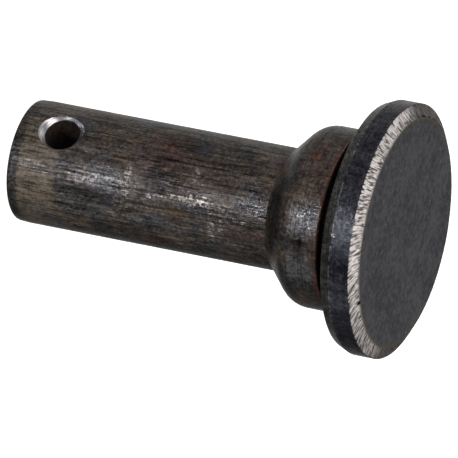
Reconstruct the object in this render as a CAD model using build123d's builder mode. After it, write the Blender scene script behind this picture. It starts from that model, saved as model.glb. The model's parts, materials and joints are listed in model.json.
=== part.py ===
from build123d import *

import os
from math import radians, tan

# A clevis pin, one solid piece of steel, in millimetres.
# The origin is the centre of the shank's free end. The pin stands on that end,
# so +Z runs along its axis to the head, and the cotter hole lies along Y.

# Shank
shank_diameter = 12.7
shank_length = 29.0  # free end to the foot of the flare
lead_in_length = 1.2  # faint taper that starts the shank into its eye
lead_in_drop = 0.12  # loss of radius at the small end of the lead-in
end_chamfer = 0.3  # broken edge of the free end
neck_radius = 0.3  # tool radius left in the corner between shank and flare

# Cotter hole
hole_diameter = 3.7
hole_height = 4.8  # free end to the hole's axis
sink_diameter = 4.9  # countersink, measured level with the shank's outermost line
sink_angle = 90.0  # full cone angle of the countersink

# Flare and collar
collar_diameter = 18.8
collar_length = 6.95  # foot of the flare to the collar's rear edge
flare_slope = 47.0  # degrees between the flare and the axis
crown_radius = 2.4  # rounds the flare over into the collar
collar_chamfer = 0.2  # broken edge beside the relief groove

# Relief groove between the collar and the head
groove_width = 1.85
groove_depth = 0.75  # below the collar
groove_corner_radius = 0.4

# Head
head_diameter = 26.3
head_thickness = 3.95
back_bevel_rise = 1.1  # along the axis
back_bevel_inset = 0.5  # towards the axis
face_chamfer_rise = 0.75  # along the axis
face_chamfer_inset = 1.3  # towards the axis

# Radii and heights worked out from the sizes above
shank_radius = shank_diameter / 2
collar_radius = collar_diameter / 2
groove_radius = collar_radius - groove_depth
head_radius = head_diameter / 2
flare_length = (collar_radius - shank_radius) / tan(radians(flare_slope))
collar_end = shank_length + collar_length
head_back = collar_end + groove_width
head_face = head_back + head_thickness

# Corners of the turned outline, each (distance from the axis, height)
end_edge = (shank_radius - lead_in_drop, 0)
lead_in_edge = (shank_radius, lead_in_length)
neck_corner = (shank_radius, shank_length)
crown_corner = (collar_radius, shank_length + flare_length)
collar_edge = (collar_radius, collar_end)
groove_front_corner = (groove_radius, collar_end)
groove_back_corner = (groove_radius, head_back)
back_edge = (head_radius - back_bevel_inset, head_back)
back_rim_edge = (head_radius, head_back + back_bevel_rise)
face_rim_edge = (head_radius, head_face - face_chamfer_rise)
face_edge = (head_radius - face_chamfer_inset, head_face)

rounded_corners = {
    neck_corner: neck_radius,
    crown_corner: crown_radius,
    groove_front_corner: groove_corner_radius,
    groove_back_corner: groove_corner_radius,
}
broken_edges = {
    end_edge: end_chamfer,
    collar_edge: collar_chamfer,
}

with BuildPart() as clevis_pin:
    # Turn the outline about the axis
    with BuildSketch(Plane.XZ) as outline:
        with BuildLine():
            Polyline(
                (0, 0),
                end_edge,
                lead_in_edge,
                neck_corner,
                crown_corner,
                collar_edge,
                groove_front_corner,
                groove_back_corner,
                back_edge,
                back_rim_edge,
                face_rim_edge,
                face_edge,
                (0, head_face),
                close=True,
            )
        make_face()
        for corner, radius in rounded_corners.items():
            fillet(outline.vertices().sort_by_distance(corner)[0], radius)
        for corner, length in broken_edges.items():
            chamfer(outline.vertices().sort_by_distance(corner)[0], length)
    revolve(axis=Axis.Z)

    # Drill and countersink the cotter hole to the axis, from both sides
    for side in (-1, 1):
        with Locations(Plane((0, side * shank_radius, hole_height), z_dir=(0, side, 0))):
            CounterSinkHole(hole_diameter / 2, sink_diameter / 2, shank_radius, sink_angle)

clevis_pin.part.label = "clevis_pin"

os.makedirs("parts", exist_ok=True)
export_step(clevis_pin.part, "parts/clevis_pin.step")
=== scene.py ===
import json
import math

import bmesh
import bpy
from mathutils import Euler, Matrix, Vector, noise


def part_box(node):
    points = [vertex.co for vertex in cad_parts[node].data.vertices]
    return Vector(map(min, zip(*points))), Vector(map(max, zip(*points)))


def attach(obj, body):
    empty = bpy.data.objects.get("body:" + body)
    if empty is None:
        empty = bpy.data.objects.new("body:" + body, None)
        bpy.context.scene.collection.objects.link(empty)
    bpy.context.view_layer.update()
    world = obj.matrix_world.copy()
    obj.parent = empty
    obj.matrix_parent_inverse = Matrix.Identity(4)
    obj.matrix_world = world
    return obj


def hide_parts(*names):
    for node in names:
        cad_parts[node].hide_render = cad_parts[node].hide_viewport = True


# A clevis pin in blackened steel, standing on the free end of its shank.
# Lengths in the dictionaries are millimetres and angles are degrees. "turn" is the angle
# around the pin, from 0 at the cotter hole's near mouth (-Y), growing towards +X.

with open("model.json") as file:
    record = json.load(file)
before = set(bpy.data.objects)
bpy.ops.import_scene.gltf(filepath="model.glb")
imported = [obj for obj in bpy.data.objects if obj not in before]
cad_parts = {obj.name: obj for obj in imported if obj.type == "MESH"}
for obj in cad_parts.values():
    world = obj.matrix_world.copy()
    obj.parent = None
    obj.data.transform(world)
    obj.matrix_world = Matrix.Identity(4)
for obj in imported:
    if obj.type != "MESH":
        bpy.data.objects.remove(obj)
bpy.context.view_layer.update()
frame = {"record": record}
mm = 0.001
white = (1.0, 1.0, 1.0, 1.0)

mounts = {mount["name"]: mount for mount in frame["record"]["mounts"]}
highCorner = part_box("clevis_pin")[1]
shankRadius = mounts["shank"]["dims"]["r_mm"]
boreRadius = mounts["cotter_hole"]["dims"]["r_mm"]
boreHeight = mounts["cotter_hole"]["pos_m"][2] / mm
headRadius = highCorner.x / mm
headTop = highCorner.z / mm
print("frame read")


def setInput(tree, socket, value):
    if isinstance(value, bpy.types.NodeSocket):
        tree.links.new(value, socket)
    elif value is not None:
        socket.default_value = value


def addNode(tree, kind, inputs=None, **settings):
    node = tree.nodes.new(kind)
    for name, value in settings.items():
        setattr(node, name, value)
    for name, value in (inputs or {}).items():
        setInput(tree, node.inputs[name], value)
    return node


def calc(tree, operation, *terms, clamp=False):
    node = addNode(tree, "ShaderNodeMath", operation=operation, use_clamp=clamp)
    for socket, term in zip(node.inputs, terms):
        setInput(tree, socket, term)
    return node.outputs[0]


def times(tree, first, *others):
    product = first
    for other in others:
        product = calc(tree, "MULTIPLY", product, other)
    return product


def vectorOf(tree, x, y, z):
    return addNode(tree, "ShaderNodeCombineXYZ", {"X": x, "Y": y, "Z": z}).outputs[0]


def fade(tree, value, start, end, low=0.0, high=1.0):
    # low up to start, high from end on, smooth between
    node = addNode(tree, "ShaderNodeMapRange", {
        "Value": value, "From Min": start, "From Max": end, "To Min": low, "To Max": high,
    }, interpolation_type="SMOOTHSTEP")
    return node.outputs[0]


def grain(tree, vector, scale=1.0, detail=2.0, roughness=0.5):
    node = addNode(tree, "ShaderNodeTexNoise", {
        "Vector": vector, "Scale": scale, "Detail": detail, "Roughness": roughness})
    return node.outputs["Fac"]


def tint(tree, factor, first, second):
    node = addNode(tree, "ShaderNodeMix", data_type="RGBA")
    setInput(tree, node.inputs["Factor"], factor)
    setInput(tree, node.inputs[6], first)
    setInput(tree, node.inputs[7], second)
    return node.outputs[2]


pinShape = {
    "shankLength": 29.0,
    "leadInLength": 1.2,
    "leadInDrop": 0.07,
    "endRounding": 0.2,
    "neckRounding": 0.25,
    "flareSlope": 47.0,
    "collarRadius": 9.4,
    "collarLength": 6.95,
    "crownRounding": 2.4,
    "collarEdgeRounding": 0.2,
    "grooveDepth": 0.75,
    "grooveWidth": 1.85,
    "grooveRounding": 0.4,
    "headThickness": 3.95,
    "backBevelRise": 1.1,
    "backBevelInset": 0.5,
    "backEdgeRounding": 0.16,
    "faceChamferRise": 0.75,
    "faceChamferInset": 1.3,
    "faceEdgeRounding": 0.05,
    "segments": 420,
    "rowSpacing": 0.5,
    "endRowSpacing": 1.2,
    "headBackRowSpacing": 0.8,
    "chamferRowSpacing": 0.14,
    "faceRowSpacing": 1.0,
    "arcStep": 12.0,
    "mergeDistance": 0.002,
    "sharpAngle": 32.0,
}

# heights and radii that the outline and the finishes share
collarTop = pinShape["shankLength"] + pinShape["collarLength"]
headBack = headTop - pinShape["headThickness"]
rimStart = headBack + pinShape["backBevelRise"]
rimTop = headTop - pinShape["faceChamferRise"]
faceRadius = headRadius - pinShape["faceChamferInset"]

wearShape = {
    "wander": 0.03,
    "wanderSize": 5.0,
    "pitDepth": 0.012,
    "pitSize": 0.7,
    "pitEdge": (0.56, 0.74),
    "fadeUnderRim": 0.4,
    "fadeOverEnd": (0.02, 0.3),
    "seed": 3.0,
}


def outlineCorners(shape):
    # (distance from the axis, height, rounding, row spacing up to the next corner)
    spacing = shape["rowSpacing"]
    collarRadius = shape["collarRadius"]
    flareRise = (collarRadius - shankRadius) / math.tan(math.radians(shape["flareSlope"]))
    grooveRadius = collarRadius - shape["grooveDepth"]
    grooveTop = collarTop + shape["grooveWidth"]
    return [
        (0, 0, 0, shape["endRowSpacing"]),
        (shankRadius - shape["leadInDrop"], 0, shape["endRounding"], spacing),
        (shankRadius, shape["leadInLength"], 0, spacing),
        (shankRadius, shape["shankLength"], shape["neckRounding"], spacing),
        (collarRadius, shape["shankLength"] + flareRise, shape["crownRounding"], spacing),
        (collarRadius, collarTop, shape["collarEdgeRounding"], spacing),
        (grooveRadius, collarTop, shape["grooveRounding"], spacing),
        (grooveRadius, grooveTop, shape["grooveRounding"], shape["headBackRowSpacing"]),
        (headRadius - shape["backBevelInset"], grooveTop, shape["backEdgeRounding"], spacing),
        (headRadius, grooveTop + shape["backBevelRise"], shape["backEdgeRounding"], spacing),
        (headRadius, rimTop, shape["faceEdgeRounding"], shape["chamferRowSpacing"]),
        (faceRadius, headTop, shape["faceEdgeRounding"], shape["faceRowSpacing"]),
        (0, headTop, 0, shape["faceRowSpacing"]),
    ]


def roundedOutline(corners, arcStep):
    # replaces each rounded corner by an arc and divides the straight runs into rows
    points = []
    spacings = []
    for index, (radius, height, rounding, spacing) in enumerate(corners):
        here = Vector((radius, height))
        if rounding == 0 or index in (0, len(corners) - 1):
            points.append(here)
            spacings.append(spacing)
            continue
        before = (Vector(corners[index - 1][:2]) - here).normalized()
        after = (Vector(corners[index + 1][:2]) - here).normalized()
        turned = math.pi - before.angle(after)
        reach = rounding * math.tan(turned / 2)
        centre = here + (before + after).normalized() * rounding / math.cos(turned / 2)
        start = here + before * reach - centre
        sense = 1 if before.cross(after) < 0 else -1
        steps = max(2, round(math.degrees(turned) / arcStep))
        for step in range(steps + 1):
            arm = start.copy()
            arm.rotate(Matrix.Rotation(sense * turned * step / steps, 2))
            points.append(centre + arm)
            spacings.append(math.inf if step < steps else spacing)
    rows = []
    for point, following, spacing in zip(points, points[1:], spacings):
        pieces = max(1, math.ceil((following - point).length / spacing))
        rows += [point.lerp(following, piece / pieces) for piece in range(pieces)]
    return rows + [points[-1]]


def outlineObject(name, rows):
    mesh = bpy.data.meshes.new(name)
    points = [(row.x * mm, 0, row.y * mm) for row in rows]
    edges = [(index, index + 1) for index in range(len(rows) - 1)]
    mesh.from_pydata(points, edges, [])
    thing = bpy.data.objects.new(name, mesh)
    bpy.context.scene.collection.objects.link(thing)
    return thing


def socketPanel(tree, inputs):
    # named inputs of a Geometry Nodes tree, each (name, kind, value)
    interface = tree.interface
    for name, kind, value in inputs:
        socket = interface.new_socket(name=name, in_out="INPUT", socket_type=kind)
        if value is not None:
            socket.default_value = value
    interface.new_socket(name="Geometry", in_out="OUTPUT", socket_type="NodeSocketGeometry")


def turningTree():
    # spins an outline about Z, lets its skin wander a little, and drills it with a cutter
    tree = bpy.data.node_groups.new("turnedSteel", "GeometryNodeTree")
    socketPanel(tree, [
        ("Outline", "NodeSocketGeometry", None),
        ("Segments", "NodeSocketInt", 96),
        ("Cutter", "NodeSocketObject", None),
        ("Wander", "NodeSocketFloat", 0.0),
        ("Wander Size", "NodeSocketFloat", 2 * mm),
        ("Pit Depth", "NodeSocketFloat", 0.0),
        ("Pit Size", "NodeSocketFloat", 0.6 * mm),
        ("Wander Below", "NodeSocketFloat", 1.0),
        ("Seed", "NodeSocketFloat", wearShape["seed"]),
        ("Material", "NodeSocketMaterial", None),
    ])
    source = addNode(tree, "NodeGroupInput").outputs
    size = addNode(tree, "GeometryNodeAttributeDomainSize", {"Geometry": source["Outline"]})
    columns = calc(tree, "ADD", source["Segments"], 1)
    grid = addNode(tree, "GeometryNodeMeshGrid", {
        "Vertices X": size.outputs["Point Count"], "Vertices Y": columns})
    index = addNode(tree, "GeometryNodeInputIndex").outputs[0]
    row = calc(tree, "FLOOR", calc(tree, "DIVIDE", calc(tree, "ADD", index, 0.5), columns))
    column = calc(tree, "SUBTRACT", index, times(tree, row, columns))
    sample = addNode(tree, "GeometryNodeSampleIndex", data_type="FLOAT_VECTOR")
    tree.links.new(source["Outline"], sample.inputs["Geometry"])
    tree.links.new(addNode(tree, "GeometryNodeInputPosition").outputs[0], sample.inputs["Value"])
    tree.links.new(row, sample.inputs["Index"])
    corner = addNode(tree, "ShaderNodeSeparateXYZ", {"Vector": sample.outputs["Value"]}).outputs
    angle = calc(tree, "DIVIDE", times(tree, column, math.tau), source["Segments"])
    across = times(tree, corner["X"], calc(tree, "SINE", angle))
    along = times(tree, corner["X"], calc(tree, "COSINE", angle), -1.0)
    place = vectorOf(tree, across, along, corner["Z"])
    spun = addNode(tree, "GeometryNodeSetPosition", {"Geometry": grid.outputs["Mesh"], "Position": place})
    closed = addNode(tree, "GeometryNodeMergeByDistance", {
        "Geometry": spun.outputs[0], "Distance": pinShape["mergeDistance"] * mm})
    flipped = addNode(tree, "GeometryNodeFlipFaces", {"Mesh": closed.outputs[0]})

    # the skin wanders in a slow swell and shallow pits, but not at the standing face or the chamfer
    position = addNode(tree, "GeometryNodeInputPosition").outputs[0]
    height = addNode(tree, "ShaderNodeSeparateXYZ", {"Vector": position}).outputs["Z"]
    seeded = addNode(tree, "ShaderNodeVectorMath", operation="ADD")
    tree.links.new(position, seeded.inputs[0])
    tree.links.new(vectorOf(tree, source["Seed"], source["Seed"], 0.0), seeded.inputs[1])
    swell = grain(tree, seeded.outputs[0], calc(tree, "DIVIDE", 1.0, source["Wander Size"]))
    pit = grain(tree, seeded.outputs[0], calc(tree, "DIVIDE", 1.0, source["Pit Size"]), detail=1.0)
    swelling = times(tree, calc(tree, "SUBTRACT", swell, 0.5), source["Wander"])
    pitting = times(tree, fade(tree, pit, *wearShape["pitEdge"], 0.0, -1.0), source["Pit Depth"])
    fadeStart = calc(tree, "SUBTRACT", source["Wander Below"], wearShape["fadeUnderRim"] * mm)
    endStart, endStop = wearShape["fadeOverEnd"]
    kept = times(tree, fade(tree, height, fadeStart, source["Wander Below"], 1.0, 0.0),
                 fade(tree, height, endStart * mm, endStop * mm))
    lift = times(tree, calc(tree, "ADD", swelling, pitting), kept)
    offset = addNode(tree, "ShaderNodeVectorMath", operation="SCALE")
    tree.links.new(addNode(tree, "GeometryNodeInputNormal").outputs[0], offset.inputs[0])
    tree.links.new(lift, offset.inputs["Scale"])
    worn = addNode(tree, "GeometryNodeSetPosition", {
        "Geometry": flipped.outputs[0], "Offset": offset.outputs[0]})

    cutter = addNode(tree, "GeometryNodeObjectInfo", {"Object": source["Cutter"]})
    drilled = addNode(tree, "GeometryNodeMeshBoolean", operation="DIFFERENCE", solver="EXACT")
    tree.links.new(worn.outputs[0], drilled.inputs["Mesh 1"])
    tree.links.new(cutter.outputs["Geometry"], drilled.inputs["Mesh 2"])
    realized = addNode(tree, "GeometryNodeRealizeInstances", {"Geometry": drilled.outputs["Mesh"]})
    finished = addNode(tree, "GeometryNodeSetMaterial", {
        "Geometry": realized.outputs[0], "Material": source["Material"]})
    addNode(tree, "NodeGroupOutput", {"Geometry": finished.outputs[0]})
    return tree


def turned(name, outline, tree, values):
    # evaluates the tree on an outline and returns a plain mesh object
    modifier = outline.modifiers.new("turn", "NODES")
    modifier.node_group = tree
    for item in tree.interface.items_tree:
        if item.in_out == "INPUT" and item.name in values:
            modifier[item.identifier] = values[item.name]
    bpy.context.view_layer.update()
    evaluated = outline.evaluated_get(bpy.context.evaluated_depsgraph_get())
    mesh = bpy.data.meshes.new_from_object(evaluated)
    mesh.name = name
    bpy.data.objects.remove(outline)
    thing = bpy.data.objects.new(name, mesh)
    bpy.context.scene.collection.objects.link(thing)
    return thing


def surfaceReadings(tree):
    # where a point of the pin lies, in millimetres and degrees
    place = addNode(tree, "ShaderNodeTexCoord").outputs["Object"]
    scaled = addNode(tree, "ShaderNodeVectorMath", operation="SCALE")
    tree.links.new(place, scaled.inputs[0])
    scaled.inputs["Scale"].default_value = 1 / mm
    parts = addNode(tree, "ShaderNodeSeparateXYZ", {"Vector": scaled.outputs[0]}).outputs
    x, y, z = parts["X"], parts["Y"], parts["Z"]
    radius = calc(tree, "SQRT", calc(tree, "ADD", times(tree, x, x), times(tree, y, y)))
    turn = calc(tree, "DEGREES", calc(tree, "ARCTAN2", x, times(tree, y, -1.0)))
    return {"vector": scaled.outputs[0], "x": x, "y": y, "z": z, "radius": radius, "turn": turn}


def stretched(tree, readings, across, along):
    # grain coordinates with their own scale across the pin and along it
    return vectorOf(tree, times(tree, readings["x"], across), times(tree, readings["y"], across),
                    times(tree, readings["z"], along))


# a patch is whole inside the first distance and gone outside the second, in its lengths and widths
patchEdge = (0.25, 0.62)


def patchGroup():
    # one ragged oval patch on the pin's side, given by its height, turn, length and width
    tree = bpy.data.node_groups.new("patch", "ShaderNodeTree")
    for name in ("Z", "Turn", "Ragged", "Height", "At Turn", "Length", "Width"):
        tree.interface.new_socket(name=name, in_out="INPUT", socket_type="NodeSocketFloat")
    tree.interface.new_socket(name="Mask", in_out="OUTPUT", socket_type="NodeSocketFloat")
    source = addNode(tree, "NodeGroupInput").outputs
    up = calc(tree, "DIVIDE", calc(tree, "SUBTRACT", source["Z"], source["Height"]), source["Length"])
    side = calc(tree, "SUBTRACT", source["Turn"], source["At Turn"])
    around = calc(tree, "DIVIDE", side, source["Width"])
    away = calc(tree, "SQRT", calc(tree, "ADD", times(tree, up, up), times(tree, around, around)))
    mask = fade(tree, calc(tree, "ADD", away, source["Ragged"]), *patchEdge, 1.0, 0.0)
    addNode(tree, "NodeGroupOutput", {"Mask": mask})
    return tree


def patches(tree, readings, group, places, ragged):
    # the strongest of several patches, each (height, turn, length, width, strength)
    total = 0.0
    for height, turn, length, width, strength in places:
        node = addNode(tree, "ShaderNodeGroup", {
            "Z": readings["z"], "Turn": readings["turn"], "Ragged": ragged,
            "Height": height, "At Turn": turn, "Length": length, "Width": width,
        }, node_tree=group)
        total = calc(tree, "MAXIMUM", total, times(tree, node.outputs[0], strength))
    return total


def newMaterial(name):
    material = bpy.data.materials.new(name)
    material.use_nodes = True
    tree = material.node_tree
    tree.nodes.clear()
    shader = addNode(tree, "ShaderNodeBsdfPrincipled")
    addNode(tree, "ShaderNodeOutputMaterial", {"Surface": shader.outputs[0]})
    return material, tree, shader


def bump(tree, height, depth):
    node = addNode(tree, "ShaderNodeBump", {"Height": height, "Distance": depth * mm, "Strength": 1.0})
    return node.outputs[0]


scaleLook = {
    "coolBlack": (0.021, 0.020, 0.021, 1.0),
    "warmBlack": (0.050, 0.036, 0.024, 1.0),
    "deepBlack": (0.004, 0.004, 0.004, 1.0),
    "headBlack": (0.004, 0.004, 0.009, 1.0),
    "bevelGrey": (0.024, 0.023, 0.020, 1.0),
    "redBrown": (0.046, 0.015, 0.010, 1.0),
    "rust": (0.150, 0.038, 0.015, 1.0),
    "ochre": (0.130, 0.085, 0.045, 1.0),
    "bareSteelAndGlint": (0.520, 0.480, 0.420, 1.0),
    "tanSteel": (0.190, 0.150, 0.095, 1.0),
    "warmShine": (1.0, 0.935, 0.905, 1.0),
    "coolShine": (0.93, 0.94, 1.0, 1.0),
    "roughness": 0.28,
    "stainRoughness": 0.10,
    "blueRoughness": -0.08,
    "bareMetallic": 0.7,
    "ior": 1.45,
    "shine": 0.12,
    "levelShine": 0.42,
    "wornShine": 0.5,
    "darkDulling": 0.7,
    "wornStrength": 0.55,
    "fleckSpeckle": 0.55,
    "fleckHair": 0.5,
    "bumpDepth": 0.05,
    "hairBump": 0.8,
    "speckleBump": 0.9,
    "crossBump": 0.25,
}

# places on the side, each (height, turn, length, width, strength)
redBrownPlaces = [
    (16.6, 2, 7.0, 60, 0.8),
    (22.0, 22, 9.0, 34, 0.45),
    (16.8, 95, 3.0, 12, 0.8),
    (26.5, 66, 5.0, 24, 0.6),
    (29.2, -12, 2.6, 30, 0.7),
    (33.9, -4, 3.8, 40, 0.6),
    (23.0, 150, 12.0, 50, 0.8),
    (12.0, -150, 9.0, 60, 0.8),
    (33.8, 190, 4.0, 70, 0.8),
]
rustPlaces = [
    (15.4, -12, 1.6, 5, 0.6),
    (16.6, -7, 1.8, 5, 0.8),
    (17.6, -2, 1.4, 4, 0.6),
    (17.0, 94, 1.2, 6, 0.6),
    (33.6, -5, 1.0, 7, 1.2),
    (34.3, -14, 1.0, 5, 0.5),
    (19.4, 58, 1.4, 5, 0.6),
    (28.2, 64, 1.2, 8, 0.5),
    (24.0, 150, 2.4, 12, 0.9),
    (11.0, -140, 2.0, 10, 0.9),
]
ochrePlaces = [
    (22.5, 28, 8.0, 14, 0.4),
    (19.0, 57, 12.0, 9, 0.6),
    (8.0, 10, 9.0, 30, 0.2),
    (22.8, 72, 3.0, 14, 0.9),
    (12.0, 18, 4.0, 22, 0.4),
    (33.4, 20, 3.6, 14, 0.4),
]
# bare steel flecks; those along the lit band near turn 40 are painted highlight, glints of the key light
bareFleckAndGlintPlaces = [
    (3.4, 38, 4.6, 13, 0.7),
    (0.5, 30, 1.2, 16, 0.5),
    (8.6, 38, 4.6, 14, 0.8),
    (12.2, 40, 4.4, 14, 0.6),
    (13.3, 38, 0.9, 40, 0.9),
    (16.0, 45, 0.9, 6, 1.2),
    (18.4, 41, 4.4, 7, 1.0),
    (21.3, 42, 2.8, 12, 2.4),
    (18.6, 29, 3.4, 8, 0.35),
    (20.6, 17, 0.8, 16, 0.5),
    (22.9, 47, 1.2, 10, 0.8),
    (24.6, 44, 3.0, 8, 0.5),
    (23.0, 66, 0.7, 26, 1.2),
    (24.0, 62, 0.6, 18, 0.9),
    (26.3, 54, 2.2, 4, 1.0),
    (28.0, 39, 2.4, 12, 0.6),
    (34.4, 36, 2.6, 22, 0.4),
    (39.1, 40, 0.5, 2.2, 1.6),
    (8.0, -160, 12.0, 26, 0.6),
    (21.0, 170, 8.0, 20, 0.7),
]
bluePlaces = [
    (10.5, 40, 9.0, 20, 0.9),
    (12.0, 66, 13.0, 18, 0.9),
    (15.6, 46, 1.4, 7, 1.0),
    (27.8, 38, 3.4, 22, 0.9),
    (34.3, 36, 3.6, 34, 0.9),
    (33.0, 62, 6.0, 36, 0.8),
]
# dark patches: some are dark scale, and some are painted shade: the strips on both sides of the lit band
# near turn 40 on shank and collar, the flare's shaded side at height 30.2, and the lower side around turn
# 120
darkScaleAndShadePlaces = [
    (8.5, 53, 8.0, 9, 1.0),
    (21.5, 53, 12.0, 5, 0.9),
    (20.5, 8, 9.0, 2.5, 0.8),
    (17.6, 26, 4.6, 20, 0.8),
    (24.0, 24, 7.0, 14, 0.55),
    (20.0, -10, 12.0, 20, 0.4),
    (27.8, 56, 3.0, 12, 0.8),
    (33.8, 52, 2.6, 4, 0.9),
    (30.2, 40, 2.8, 70, 0.9),
    (16.0, 120, 24.0, 60, 0.4),
]

# the noises that the scale is mixed from, each (scale across, scale along, detail, roughness)
steelNoises = {
    "mottle": (0.34, 0.34, 6.0, 0.68),
    "blotch": (1.0, 0.45, 6.0, 0.72),
    "streak": (2.4, 0.14, 5.0, 0.72),
    "hair": (5.5, 0.30, 3.0, 0.70),
    "speckle": (2.8, 2.8, 4.0, 0.75),
    "ragged": (2.0, 1.0, 6.0, 0.75),
}
crossNoise = {
    "around": 3.0,
    "along": 6.0,
    "detail": 3.0,
    "roughness": 0.6,
}
raggedness = 1.7

# how a noise shows in a place, each (noise, start, end, value below start, value above end)
noiseSteps = {
    "streakAlong": ("streak", 0.40, 0.62, 0.6, 1.5),
    "hairAlong": ("hair", 0.36, 0.50, 0.2, 1.2),
    "crossAround": ("cross", 0.36, 0.55, 0.6, 1.2),
    "hairAround": ("hair", 0.36, 0.50, 0.6, 1.1),
    "blotchLevel": ("blotch", 0.36, 0.64, 0.65, 1.45),
    "speckleLevel": ("speckle", 0.38, 0.62, 0.5, 1.6),
    "warmth": ("mottle", 0.40, 0.60, 0.0, 1.0),
    "headWarmth": ("blotch", 0.45, 0.75, 0.0, 0.2),
    "wornHair": ("hair", 0.38, 0.64, 0.25, 1.4),
    "wornCross": ("cross", 0.36, 0.54, 0.6, 1.1),
    "wornSpeckle": ("speckle", 0.38, 0.62, 0.7, 1.2),
    "endBand": ("speckle", 0.50, 0.66, 0.95, 0.35),
    "redBrown": ("hair", 0.38, 0.60, 0.1, 1.0),
    "dark": ("hair", 0.45, 0.65, 1.0, 0.55),
    "rust": ("speckle", 0.46, 0.62, 0.0, 1.0),
    "ochre": ("hair", 0.45, 0.62, 0.1, 0.7),
    "edgeStain": ("blotch", 0.40, 0.60, 0.15, 0.5),
    "edgeShine": ("speckle", 0.46, 0.58, 0.0, 1.0),
    "gloss": ("mottle", 0.35, 0.65, -0.04, 0.08),
}

# other changes of the finish, each (start, end, value below start, value above end)
placeSteps = {
    "shank": (28.4, 29.4, 1.0, 0.0),
    "collarStain": (collarTop - 0.7, collarTop - 0.25, 0.0, 1.0),
    "belowGroove": (collarTop + 0.1, collarTop + 0.3, 1.0, 0.0),
    "groove": (collarTop - 0.06, collarTop + 0.06, 0.0, 1.0),
    "belowHead": (headBack - 0.1, headBack, 1.0, 0.0),
    "head": (headBack - 0.1, headBack, 0.0, 1.0),
    "headTone": (headBack - 0.05, headBack, 0.0, 1.0),
    "rimTone": (rimStart - 0.1, rimStart + 0.05, 0.0, 1.0),
    "edgeLine": (0.03, 0.08, 0.3, 0.0),
    "flecks": (0.52, 0.64, 0.0, 1.0),
    "wornStart": (0.5, 1.0, 0.0, 1.0),
    "wornStop": (4.95, 5.65, 1.0, 0.0),
    "wornSide": (8.0, 52.0, 1.1, 0.4),
    "bandEdge": (-0.06, 0.06, 1.0, 0.0),
    "bandSide": (34.0, 48.0, 1.0, 0.25),
}
collarStainWander = 0.3

endLook = {
    "bandHeight": 1.15,
    "bandTurn": 50.0,
    "wornTurn": 41.0,
    "edgeWander": 0.6,
    "wornStopWander": 0.3,
}


def steelGrains(tree, readings):
    grains = {}
    for name, (across, along, detail, roughness) in steelNoises.items():
        grains[name] = grain(tree, stretched(tree, readings, across, along), 1.0, detail, roughness)
    side = calc(tree, "SINE", calc(tree, "RADIANS", readings["turn"]))
    crossLines = vectorOf(tree, times(tree, readings["radius"], crossNoise["along"]),
                          times(tree, side, crossNoise["around"]),
                          times(tree, readings["z"], crossNoise["along"]))
    grains["cross"] = grain(tree, crossLines, 1.0, crossNoise["detail"], crossNoise["roughness"])
    grains["ragged"] = calc(tree, "MULTIPLY_ADD", grains["ragged"], raggedness, -raggedness / 2)
    return grains


def shown(tree, grains, place):
    name, *steps = noiseSteps[place]
    return fade(tree, grains[name], *steps)


def scaleLevel(tree, grains, onShank):
    # how light the scale is: dark hairlines along the shank, crossing lines on the collar, and mottle
    drawn = addNode(tree, "ShaderNodeMix", data_type="FLOAT")
    setInput(tree, drawn.inputs[0], onShank)
    around = times(tree, shown(tree, grains, "crossAround"), shown(tree, grains, "hairAround"))
    along = times(tree, shown(tree, grains, "streakAlong"), shown(tree, grains, "hairAlong"))
    setInput(tree, drawn.inputs[2], around)
    setInput(tree, drawn.inputs[3], along)
    return times(tree, drawn.outputs[0],
                 shown(tree, grains, "blotchLevel"), shown(tree, grains, "speckleLevel"))


def groundTone(tree, readings, grains, level):
    # cool to warm black, then the greyer bevel and the blue-black rim of the head
    look = scaleLook
    tone = tint(tree, shown(tree, grains, "warmth"), look["coolBlack"], look["warmBlack"])
    onRim = fade(tree, readings["z"], *placeSteps["rimTone"])
    headTone = tint(tree, onRim, look["bevelGrey"], look["headBlack"])
    headTone = tint(tree, shown(tree, grains, "headWarmth"), headTone, look["warmBlack"])
    tone = tint(tree, fade(tree, readings["z"], *placeSteps["headTone"]), tone, headTone)
    toned = addNode(tree, "ShaderNodeVectorMath", operation="SCALE")
    tree.links.new(tone, toned.inputs[0])
    tree.links.new(level, toned.inputs["Scale"])
    return toned.outputs[0]


def distanceFrom(tree, value, middle):
    return calc(tree, "ABSOLUTE", calc(tree, "SUBTRACT", value, middle))


def wornEnd(tree, readings, grains):
    # masks of the worn tan zone behind the free end and of the dark ragged band at its very edge
    look = endLook
    z, turn = readings["z"], readings["turn"]
    startHeight = calc(tree, "MULTIPLY_ADD", grains["ragged"], look["edgeWander"], z)
    stopHeight = calc(tree, "MULTIPLY_ADD", grains["ragged"], look["wornStopWander"], z)
    worn = times(tree, fade(tree, startHeight, *placeSteps["wornStart"]),
                 fade(tree, stopHeight, *placeSteps["wornStop"]),
                 fade(tree, distanceFrom(tree, turn, look["wornTurn"]), *placeSteps["wornSide"]),
                 shown(tree, grains, "wornHair"), shown(tree, grains, "wornCross"),
                 shown(tree, grains, "wornSpeckle"))
    bandEdge = calc(tree, "MULTIPLY_ADD", grains["ragged"], look["edgeWander"], look["bandHeight"])
    band = times(tree, fade(tree, calc(tree, "SUBTRACT", z, bandEdge), *placeSteps["bandEdge"]),
                 fade(tree, distanceFrom(tree, turn, look["bandTurn"]), *placeSteps["bandSide"]))
    return worn, band


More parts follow.
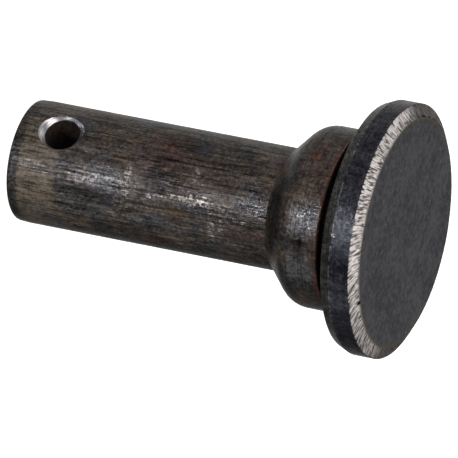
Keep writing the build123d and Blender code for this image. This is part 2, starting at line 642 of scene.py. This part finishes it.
def blackScale(group):
    # black mill scale: mottled, drawn lengthwise, worn and rusted in places
    look = scaleLook
    material, tree, shader = newMaterial("blackScaleSteel")
    readings = surfaceReadings(tree)
    grains = steelGrains(tree, readings)
    z, ragged = readings["z"], grains["ragged"]
    onShank = fade(tree, z, *placeSteps["shank"])
    level = scaleLevel(tree, grains, onShank)
    worn, band = wornEnd(tree, readings, grains)
    band = times(tree, band, shown(tree, grains, "endBand"))

    # stains, and dark patches that are partly painted shade
    stains = {}
    for name, places in (("redBrown", redBrownPlaces), ("dark", darkScaleAndShadePlaces),
                         ("rust", rustPlaces), ("ochre", ochrePlaces)):
        covered = patches(tree, readings, group, places, ragged)
        stains[name] = times(tree, covered, shown(tree, grains, name))
    stainHeight = calc(tree, "MULTIPLY_ADD", ragged, collarStainWander, z)
    collarStain = times(tree, fade(tree, z, *placeSteps["belowGroove"]),
                        fade(tree, stainHeight, *placeSteps["collarStain"]),
                        shown(tree, grains, "edgeStain"))
    # painted highlight: a thin line of bare steel colour along the edge between back bevel and rim, partly
    # worn edge and partly the light this edge catches
    edgeShine = times(tree, fade(tree, distanceFrom(tree, z, rimStart), *placeSteps["edgeLine"]),
                      shown(tree, grains, "edgeShine"))
    # painted shade: the groove between collar and head gets deep black colour and less shine
    grooveShade = times(tree, fade(tree, z, *placeSteps["groove"]), fade(tree, z, *placeSteps["belowHead"]))

    # bare places: the scale is scratched through in flecks and lines; the flecks strung along the lit band,
    # turn 36 to 47, are also painted highlight, glints of the key light
    flecks = calc(tree, "MULTIPLY_ADD", grains["speckle"], look["fleckSpeckle"],
                  times(tree, grains["hair"], look["fleckHair"]))
    flecks = fade(tree, flecks, *placeSteps["flecks"])
    bareAndGlint = calc(tree, "MULTIPLY", patches(tree, readings, group, bareFleckAndGlintPlaces, ragged), flecks, clamp=True)

    colour = groundTone(tree, readings, grains, level)
    for mask, name in (
        (calc(tree, "MULTIPLY", worn, look["wornStrength"], clamp=True), "tanSteel"),
        (band, "deepBlack"),
        (stains["redBrown"], "redBrown"),
        (stains["dark"], "deepBlack"),
        (calc(tree, "MAXIMUM", stains["rust"], collarStain, clamp=True), "rust"),
        (edgeShine, "bareSteelAndGlint"),
        (grooveShade, "deepBlack"),
        (stains["ochre"], "ochre"),
        (bareAndGlint, "bareSteelAndGlint"),
    ):
        colour = tint(tree, mask, colour, look[name])
    tree.links.new(colour, shader.inputs["Base Color"])
    tree.links.new(times(tree, bareAndGlint, look["bareMetallic"]), shader.inputs["Metallic"])

    # smoother bluish oxide gives a sharper shine than the dry stains do
    blue = patches(tree, readings, group, bluePlaces, ragged)
    dry = calc(tree, "MAXIMUM", stains["redBrown"], worn)
    gloss = calc(tree, "ADD", look["roughness"], shown(tree, grains, "gloss"))
    gloss = calc(tree, "MULTIPLY_ADD", dry, look["stainRoughness"], gloss)
    gloss = calc(tree, "MULTIPLY_ADD", blue, look["blueRoughness"], gloss)
    tree.links.new(gloss, shader.inputs["Roughness"])
    # the dark patches, partly painted shade, and the painted groove shade also lose most of their shine
    dull = times(tree, calc(tree, "MAXIMUM", stains["dark"], grooveShade), look["darkDulling"])
    shine = times(tree, calc(tree, "MULTIPLY_ADD", level, look["levelShine"], look["shine"]),
                  calc(tree, "SUBTRACT", 1.0, dull))
    shine = calc(tree, "MAXIMUM", shine, times(tree, worn, look["wornShine"]), clamp=True)
    tree.links.new(shine, shader.inputs["Specular IOR Level"])
    shader.inputs["IOR"].default_value = look["ior"]
    cool = calc(tree, "MAXIMUM", fade(tree, z, *placeSteps["head"]), blue)
    tree.links.new(tint(tree, cool, look["warmShine"], look["coolShine"]), shader.inputs["Specular Tint"])

    relief = calc(tree, "MULTIPLY_ADD", grains["hair"], look["hairBump"], grains["streak"])
    relief = calc(tree, "MULTIPLY_ADD", grains["speckle"], look["speckleBump"], times(tree, relief, onShank))
    relief = calc(tree, "MULTIPLY_ADD", grains["cross"], look["crossBump"], relief)
    tree.links.new(bump(tree, relief, look["bumpDepth"]), shader.inputs["Normal"])
    return material


chamferMarks = {
    "cuts": 2,
    "pitch": 0.24,
    "depth": 0.06,
    "slant": 6.0,
    "slantSwing": 5.0,
    "strokeRun": 0.7,
    "crossingPitch": 30.0,
    "crossingDepth": 0.4,
    "fadeIn": 6.0,
    "depthAtFace": 0.3,
    "edgeWander": 0.05,
    "slowWander": 0.06,
    "quickWander": 0.4,
    "quickShare": 0.5,
    "dropShare": 0.8,
}

chamferLook = {
    "brightSteel": (0.95, 0.90, 0.88, 1.0),
    "cutSteel": (0.13, 0.105, 0.092, 1.0),
    "darkChamferTone": (0.034, 0.029, 0.025, 1.0),
    "metallic": 0.6,
    "roughness": 0.55,
    "bumpDepth": 0.08,
    "strokeRun": 1.5,
    "strokeScale": 1.1,
    "cloudScale": 0.8,
    "brightestTurn": 40.0,
    "jagged": 1.1,
}

# changes across the chamfer and around it, each (start, end, value below start, value above end)
chamferSteps = {
    "strokes": (0.39, 0.57, 0.0, 1.0),
    "cloud": (0.30, 0.55, 0.75, 1.0),
    "farSide": (72.0, 86.0, 0.0, 0.78),
    "faceSide": (0.90, 1.02, 0.0, 0.75),
    "rimSide": (0.0, 0.10, 0.9, 0.0),
    "dashTurn": (-52.0, -44.0, 1.0, 0.0),
    "dashReach": (0.80, 0.88, 0.0, 1.0),
    "dashCloud": (0.46, 0.50, 0.0, 1.0),
}

# dark nicks in the ground band, each (height, turn, length, width, strength)
chamferNicks = [
    (41.66, 73.5, 0.35, 2.6, 1.0),
    (41.10, 24, 0.2, 1.4, 0.6),
]


def groundChamfer(group):
    # bright steel under coarse slanted grinder strokes; reach is 0 at the rim and 1 at the face
    look = chamferLook
    marks = chamferMarks
    material, tree, shader = newMaterial("groundChamfer")
    readings = surfaceReadings(tree)
    reach = calc(tree, "SUBTRACT", headRadius, readings["radius"])
    reach = calc(tree, "DIVIDE", reach, pinShape["faceChamferInset"])
    turn = calc(tree, "RADIANS", readings["turn"])
    slant = times(tree, calc(tree, "COSINE", turn), math.radians(-marks["slantSwing"]))
    slant = calc(tree, "ADD", slant, math.radians(marks["slant"]))
    swirl = calc(tree, "ADD", turn, times(tree, slant, calc(tree, "SUBTRACT", reach, 0.5)))
    ring = headRadius / marks["pitch"]
    place = vectorOf(tree, times(tree, calc(tree, "SINE", swirl), ring),
                     times(tree, calc(tree, "COSINE", swirl), ring), times(tree, reach, look["strokeRun"]))
    strokes = grain(tree, place, look["strokeScale"], detail=3.0, roughness=0.6)
    cloud = grain(tree, readings["vector"], look["cloudScale"], detail=3.0)
    bright = times(tree, fade(tree, strokes, *chamferSteps["strokes"]),
                   fade(tree, cloud, *chamferSteps["cloud"]))
    colour = tint(tree, bright, look["cutSteel"], look["brightSteel"])

    # the chamfer is darker away from brightestTurn, and scale is left raggedly along both edges
    ragged = calc(tree, "SUBTRACT", strokes, 0.5)
    left = fade(tree, distanceFrom(tree, readings["turn"], look["brightestTurn"]), *chamferSteps["farSide"])
    jagged = calc(tree, "MULTIPLY_ADD", ragged, look["jagged"], reach)
    for side in ("faceSide", "rimSide"):
        left = calc(tree, "MAXIMUM", left, fade(tree, jagged, *chamferSteps[side]))
    colour = tint(tree, left, colour, look["darkChamferTone"])
    nicks = patches(tree, readings, group, chamferNicks, ragged)
    dashes = times(tree, fade(tree, readings["turn"], *chamferSteps["dashTurn"]),
                   fade(tree, reach, *chamferSteps["dashReach"]),
                   fade(tree, cloud, *chamferSteps["dashCloud"]))
    colour = tint(tree, calc(tree, "MAXIMUM", nicks, dashes, clamp=True), colour, scaleLook["deepBlack"])
    tree.links.new(colour, shader.inputs["Base Color"])
    shader.inputs["Metallic"].default_value = look["metallic"]
    shader.inputs["Roughness"].default_value = look["roughness"]
    tree.links.new(bump(tree, strokes, look["bumpDepth"]), shader.inputs["Normal"])
    return material


holeLook = {
    "sinkDark": (0.30, 0.29, 0.31, 1.0),
    "sinkBright": (0.62, 0.60, 0.60, 1.0),
    "sinkContrast": (0.35, 0.65),
    "sinkRoughness": 0.33,
    "sinkBump": 0.02,
    "chatterScale": 9.0,
    "chatterRun": 0.8,
    "boreBlack": (0.012, 0.008, 0.006, 1.0),
    "boreBrown": (0.045, 0.027, 0.018, 1.0),
    "boreContrast": (0.4, 0.65),
    "boreRoughness": 0.6,
    "boreBump": 0.03,
    "boreGrain": 3.0,
}


def drilledSteel():
    # bright countersink, cut with faint chatter round the hole
    look = holeLook
    material, tree, shader = newMaterial("drilledSteel")
    readings = surfaceReadings(tree)
    x, z = readings["x"], readings["z"]
    rise = calc(tree, "SUBTRACT", z, boreHeight)
    fromBore = calc(tree, "SQRT", calc(tree, "ADD", times(tree, x, x), times(tree, rise, rise)))
    place = vectorOf(tree, times(tree, fromBore, look["chatterScale"]), times(tree, x, look["chatterRun"]),
                     times(tree, z, look["chatterRun"]))
    chatter = grain(tree, place)
    colour = tint(tree, fade(tree, chatter, *look["sinkContrast"]), look["sinkDark"], look["sinkBright"])
    tree.links.new(colour, shader.inputs["Base Color"])
    shader.inputs["Metallic"].default_value = 1.0
    shader.inputs["Roughness"].default_value = look["sinkRoughness"]
    tree.links.new(bump(tree, chatter, look["sinkBump"]), shader.inputs["Normal"])
    return material


def boreSteel():
    # the bore: mottled brown-black
    look = holeLook
    material, tree, shader = newMaterial("boreSteel")
    readings = surfaceReadings(tree)
    mottle = grain(tree, readings["vector"], look["boreGrain"])
    colour = tint(tree, fade(tree, mottle, *look["boreContrast"]), look["boreBlack"], look["boreBrown"])
    tree.links.new(colour, shader.inputs["Base Color"])
    shader.inputs["Roughness"].default_value = look["boreRoughness"]
    tree.links.new(bump(tree, mottle, look["boreBump"]), shader.inputs["Normal"])
    return material


faceLook = {
    "grey": (0.078, 0.078, 0.087, 1.0),
    "darkGrey": (0.030, 0.030, 0.034, 1.0),
    "scratched": (0.19, 0.19, 0.20, 1.0),
    "fringe": (0.090, 0.070, 0.038, 1.0),
    "roughness": 0.5,
    "bumpDepth": 0.012,
    "speckleBump": 0.5,
    "grindDirection": 37.0,
    "grindStretch": (0.3, 3.0, 1.0),
    "mottleShare": 0.55,
    "cloudShare": 0.25,
    "lineShare": 0.2,
    "fringeWander": 0.4,
}

# where the face's marks show, each (start, end, value below start, value above end)
faceSteps = {
    "level": (0.42, 0.58, 0.0, 1.0),
    "scratches": (0.66, 0.74, 0.0, 0.5),
    "specks": (0.74, 0.78, 0.0, 0.7),
    "fringe": (faceRadius - 0.25, faceRadius + 0.15, 0.0, 0.8),
}


def headFaceSteel():
    # matt dark scale with faint parallel grinding and an oily brown fringe at the chamfer
    look = faceLook
    material, tree, shader = newMaterial("headFaceSteel")
    readings = surfaceReadings(tree)
    # the grain is turned first and stretched by a second node
    turnedFace = addNode(tree, "ShaderNodeMapping", {"Vector": readings["vector"]})
    turnedFace.inputs["Rotation"].default_value = (0, 0, math.radians(-look["grindDirection"]))
    stretch = addNode(tree, "ShaderNodeMapping", {"Vector": turnedFace.outputs[0]})
    stretch.inputs["Scale"].default_value = look["grindStretch"]
    lines = grain(tree, stretch.outputs[0], 1.0, detail=5.0, roughness=0.7)
    cloud = grain(tree, readings["vector"], 0.22, detail=4.0, roughness=0.6)
    mottle = grain(tree, readings["vector"], 1.6, detail=5.0, roughness=0.75)
    speckle = grain(tree, readings["vector"], 3.2, detail=1.0)
    level = calc(tree, "MULTIPLY_ADD", mottle, look["mottleShare"], times(tree, cloud, look["cloudShare"]))
    level = calc(tree, "MULTIPLY_ADD", lines, look["lineShare"], level)
    colour = tint(tree, fade(tree, level, *faceSteps["level"]), look["darkGrey"], look["grey"])
    colour = tint(tree, fade(tree, lines, *faceSteps["scratches"]), colour, look["scratched"])
    edge = calc(tree, "MULTIPLY_ADD", cloud, look["fringeWander"], readings["radius"])
    colour = tint(tree, fade(tree, edge, *faceSteps["fringe"]), colour, look["fringe"])
    colour = tint(tree, fade(tree, speckle, *faceSteps["specks"]), colour, look["scratched"])
    tree.links.new(colour, shader.inputs["Base Color"])
    shader.inputs["Roughness"].default_value = look["roughness"]
    relief = calc(tree, "MULTIPLY_ADD", speckle, look["speckleBump"], lines)
    tree.links.new(bump(tree, relief, look["bumpDepth"]), shader.inputs["Normal"])
    return material


holeShape = {
    "sinkRadius": 2.45,
    "overrun": 1.5,
    "lipRounding": 0.06,
    "segments": 120,
    "arcStep": 15.0,
    "endRowSpacing": 2.0,
    "sinkRowSpacing": 0.5,
    "boreRowSpacing": 1.0,
}


def holeCutter(tree):
    shape = holeShape
    outer = shankRadius + shape["overrun"]
    mouth = shape["sinkRadius"] + shape["overrun"]
    lip = shankRadius - (shape["sinkRadius"] - boreRadius)
    corners = [
        (0, -outer, 0, shape["endRowSpacing"]),
        (mouth, -outer, 0, shape["sinkRowSpacing"]),
        (boreRadius, -lip, shape["lipRounding"], shape["boreRowSpacing"]),
        (boreRadius, lip, shape["lipRounding"], shape["sinkRowSpacing"]),
        (mouth, outer, 0, shape["endRowSpacing"]),
        (0, outer, 0, shape["endRowSpacing"]),
    ]
    outline = outlineObject("holeOutline", roundedOutline(corners, shape["arcStep"]))
    cutter = turned("holeCutter", outline, tree, {"Segments": shape["segments"]})
    lying = Matrix.Rotation(math.radians(90), 4, "X")
    cutter.data.transform(Matrix.Translation((0, 0, boreHeight * mm)) @ lying)
    return cutter


def chamferRings(mesh):
    # the edges that run around the chamfer, at one height and one distance from the axis
    slack = 0.05
    rings = []
    for edge in mesh.edges:
        first, second = (vert.co for vert in edge.verts)
        level = abs(first.z - second.z) < 1e-7
        even = abs(first.xy.length - second.xy.length) < 1e-6
        aboveRim = min(first.z, second.z) > (rimTop - slack) * mm
        outsideFace = min(first.xy.length, second.xy.length) > (faceRadius - slack) * mm
        if level and even and aboveRim and outsideFace:
            rings.append(edge)
    return rings


def grindChamfer(thing, shape, marks):
    # cuts slanted grinder strokes into the chamfer and lets its edges wander
    mesh = bmesh.new()
    mesh.from_mesh(thing.data)
    bmesh.ops.subdivide_edges(mesh, edges=chamferRings(mesh), cuts=marks["cuts"], use_grid_fill=True)
    mesh.to_mesh(thing.data)
    mesh.free()
    rimSlack = 0.001
    faceSlack = 0.03
    inwards = Vector((-shape["faceChamferRise"], -shape["faceChamferInset"])).normalized()
    for vert in thing.data.vertices:
        radius = vert.co.xy.length / mm
        if vert.co.z < (rimTop - rimSlack) * mm or radius < faceRadius - faceSlack:
            continue
        turn = math.atan2(vert.co.x, -vert.co.y)
        reach = min(max((headRadius - radius) / shape["faceChamferInset"], 0.0), 1.0)
        slant = math.radians(marks["slant"] - marks["slantSwing"] * math.cos(turn))
        swirl = turn + slant * (reach - 0.5)
        ring = Vector((math.sin(swirl), math.cos(swirl), 0)) * headRadius / marks["pitch"]
        stroke = noise.noise(ring + Vector((0, 0, reach * marks["strokeRun"])))
        backwards = turn - slant * reach
        crossRing = Vector((math.sin(backwards), math.cos(backwards), 0)) * marks["crossingPitch"]
        crossing = noise.noise(crossRing)
        depth = marks["depth"] * (max(stroke, 0.0) + marks["crossingDepth"] * max(crossing, 0.0))
        atFace = marks["fadeIn"] * (1 - reach) + marks["depthAtFace"]
        cut = depth * min(1.0, marks["fadeIn"] * reach, atFace)
        slow = noise.noise(ring * marks["slowWander"])
        quick = noise.noise(ring * marks["quickWander"])
        wander = marks["edgeWander"] * (slow + marks["quickShare"] * quick)
        outward = Vector((vert.co.x, vert.co.y, 0)).normalized()
        vert.co += outward * (inwards.x * cut + wander * reach) * mm
        vert.co.z += (inwards.y * cut - wander * (1 - reach) * marks["dropShare"]) * mm


# how far over its edge a finish reaches, and how steeply a face of the hole leans
finishEdges = {
    "overRim": 0.02,
    "aroundHole": 0.05,
    "overShank": 0.05,
    "boreDepth": 1.0,
    "sinkLean": 0.93,
    "boreLean": 0.35,
}


def shareMaterials(thing, materials):
    # which finish each face of the pin has
    edges = finishEdges
    thing.data.materials.clear()
    for material in materials.values():
        thing.data.materials.append(material)
    slots = list(materials)
    for face in thing.data.polygons:
        centre = face.center / mm
        radius = centre.xy.length
        fromBore = math.hypot(centre.x, centre.z - boreHeight)
        nearHole = fromBore < holeShape["sinkRadius"] + edges["aroundHole"]
        finish = "scale"
        if centre.z > rimTop + edges["overRim"]:
            finish = "face" if radius < faceRadius else "chamfer"
        elif nearHole and radius < shankRadius + edges["overShank"]:
            outward = Vector((centre.x, centre.y, 0)).normalized()
            if radius < shankRadius - edges["boreDepth"] or face.normal.dot(outward) < edges["sinkLean"]:
                finish = "bore" if abs(face.normal.y) < edges["boreLean"] else "sink"
        face.material_index = slots.index(finish)


def makePin():
    tree = turningTree()
    cutter = holeCutter(tree)
    group = patchGroup()
    materials = {
        "scale": blackScale(group),
        "chamfer": groundChamfer(group),
        "sink": drilledSteel(),
        "bore": boreSteel(),
        "face": headFaceSteel(),
    }
    outline = outlineObject("pinOutline", roundedOutline(outlineCorners(pinShape), pinShape["arcStep"]))
    pin = turned("pin", outline, tree, {
        "Segments": pinShape["segments"],
        "Cutter": cutter,
        "Wander": wearShape["wander"] * mm,
        "Wander Size": wearShape["wanderSize"] * mm,
        "Pit Depth": wearShape["pitDepth"] * mm,
        "Pit Size": wearShape["pitSize"] * mm,
        "Wander Below": rimTop * mm,
        "Material": materials["scale"],
    })
    bpy.data.objects.remove(cutter)
    shareMaterials(pin, materials)
    grindChamfer(pin, pinShape, chamferMarks)
    for face in pin.data.polygons:
        face.use_smooth = True
    pin.data.set_sharp_from_angle(angle=math.radians(pinShape["sharpAngle"]))
    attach(pin, "root")
    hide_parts("clevis_pin")
    print("pin made,", len(pin.data.polygons), "faces")
    return pin


pin = makePin()


cameraSetup = {
    "azimuth": 32.61,
    "elevation": 21.62,
    "roll": 101.06,
    "distance": 966.7,
    "lens": 747.8,
    "clipEnd": 10.0,
    "target": (3.24, 0.63, 23.28),
}


def towards(turn, elevation):
    # the direction that lies at this turn and elevation from the pin
    turn, elevation = math.radians(turn), math.radians(elevation)
    level = math.cos(elevation)
    return Vector((math.sin(turn) * level, -math.cos(turn) * level, math.sin(elevation)))


def makeCamera(setup):
    data = bpy.data.cameras.new("camera")
    data.lens = setup["lens"]
    data.clip_end = setup["clipEnd"]
    camera = bpy.data.objects.new("camera", data)
    bpy.context.scene.collection.objects.link(camera)
    level = Euler((math.radians(90 - setup["elevation"]), 0, math.radians(setup["azimuth"]))).to_matrix()
    axes = level @ Matrix.Rotation(math.radians(setup["roll"]), 3, "Z")
    place = Vector(setup["target"]) + towards(setup["azimuth"], setup["elevation"]) * setup["distance"]
    camera.matrix_world = Matrix.Translation(place * mm) @ axes.to_4x4()
    bpy.context.scene.camera = camera


floorLook = {
    "width": 6000.0,
    "gap": 0.02,
    "grey": (0.9, 0.9, 0.9, 1.0),
    "glow": 0.9,
}


def makeFloor(look):
    # a pale floor that only the camera sees
    bpy.ops.mesh.primitive_plane_add(size=look["width"] * mm, location=(0, 0, -look["gap"] * mm))
    floor = bpy.context.object
    floor.name = "floor"
    material, tree, shader = newMaterial("paleFloor")
    shader.inputs["Base Color"].default_value = look["grey"]
    shader.inputs["Roughness"].default_value = 1.0
    shader.inputs["Emission Color"].default_value = white
    shader.inputs["Emission Strength"].default_value = look["glow"]
    floor.data.materials.append(material)
    floor.visible_diffuse = False
    floor.visible_glossy = False
    floor.visible_shadow = False


lights = {
    # name: (turn, elevation, distance, width, height, watts, colour)
    "longHighlight": (41.0, -21.6, 400, 44, 60, 0.56, (0.88, 0.91, 1.0)),
    "lowHighlight": (107.0, -21.6, 450, 60, 120, 0.12, (0.93, 0.96, 1.0)),
    "headFill": (46.0, 56.0, 500, 400, 400, 1.5, (1.0, 0.98, 0.97)),
    "upperFill": (-45.0, 20.0, 500, 500, 500, 0.62, (1.0, 0.99, 0.98)),
}

surroundings = {
    "brightSide": 0.315,
    "darkSide": 0.085,
    "brightTurn": -40.0,
    "brightElevation": 10.0,
    "brightSpread": (-0.7, 0.5),
    "backdrop": 0.36,
    "backdropTurn": 220.0,
    "backdropElevation": -30.0,
    "backdropSpread": (0.80, 0.97),
}


def makeLights():
    aim = Vector((0, 0, headTop / 2)) * mm
    for name, (turn, elevation, distance, width, height, watts, colour) in lights.items():
        data = bpy.data.lights.new(name, "AREA")
        data.shape = "RECTANGLE"
        data.size = width * mm
        data.size_y = height * mm
        data.energy = watts
        data.color = colour
        direction = towards(turn, elevation)
        facing = direction.to_track_quat("Z", "Y").to_matrix().to_4x4()
        light = bpy.data.objects.new(name, data)
        light.matrix_world = Matrix.Translation(aim + direction * distance * mm) @ facing
        bpy.context.scene.collection.objects.link(light)


def facingSide(tree, direction, turn, elevation):
    # 1 looking straight towards that side, -1 looking away from it
    side = addNode(tree, "ShaderNodeVectorMath", operation="DOT_PRODUCT")
    tree.links.new(direction, side.inputs[0])
    side.inputs[1].default_value = towards(turn, elevation)
    return side.outputs["Value"]


def makeWorld(look):
    # soft surroundings, brighter above and to one side; the camera sees plain white
    world = bpy.data.worlds.new("studio")
    world.use_nodes = True
    tree = world.node_tree
    tree.nodes.clear()
    direction = addNode(tree, "ShaderNodeTexCoord").outputs["Generated"]
    bright = facingSide(tree, direction, look["brightTurn"], look["brightElevation"])
    level = fade(tree, bright, *look["brightSpread"], look["darkSide"], look["brightSide"])
    backdrop = facingSide(tree, direction, look["backdropTurn"], look["backdropElevation"])
    level = calc(tree, "ADD", level, fade(tree, backdrop, *look["backdropSpread"], 0.0, look["backdrop"]))
    seen = addNode(tree, "ShaderNodeLightPath").outputs["Is Camera Ray"]
    strength = calc(tree, "MAXIMUM", level, seen)
    background = addNode(tree, "ShaderNodeBackground", {"Color": white, "Strength": strength})
    addNode(tree, "ShaderNodeOutputWorld", {"Surface": background.outputs[0]})
    bpy.context.scene.world = world


makeCamera(cameraSetup)
makeFloor(floorLook)
makeLights()
makeWorld(surroundings)
bpy.context.scene.view_settings.view_transform = "Standard"
print("stage set")
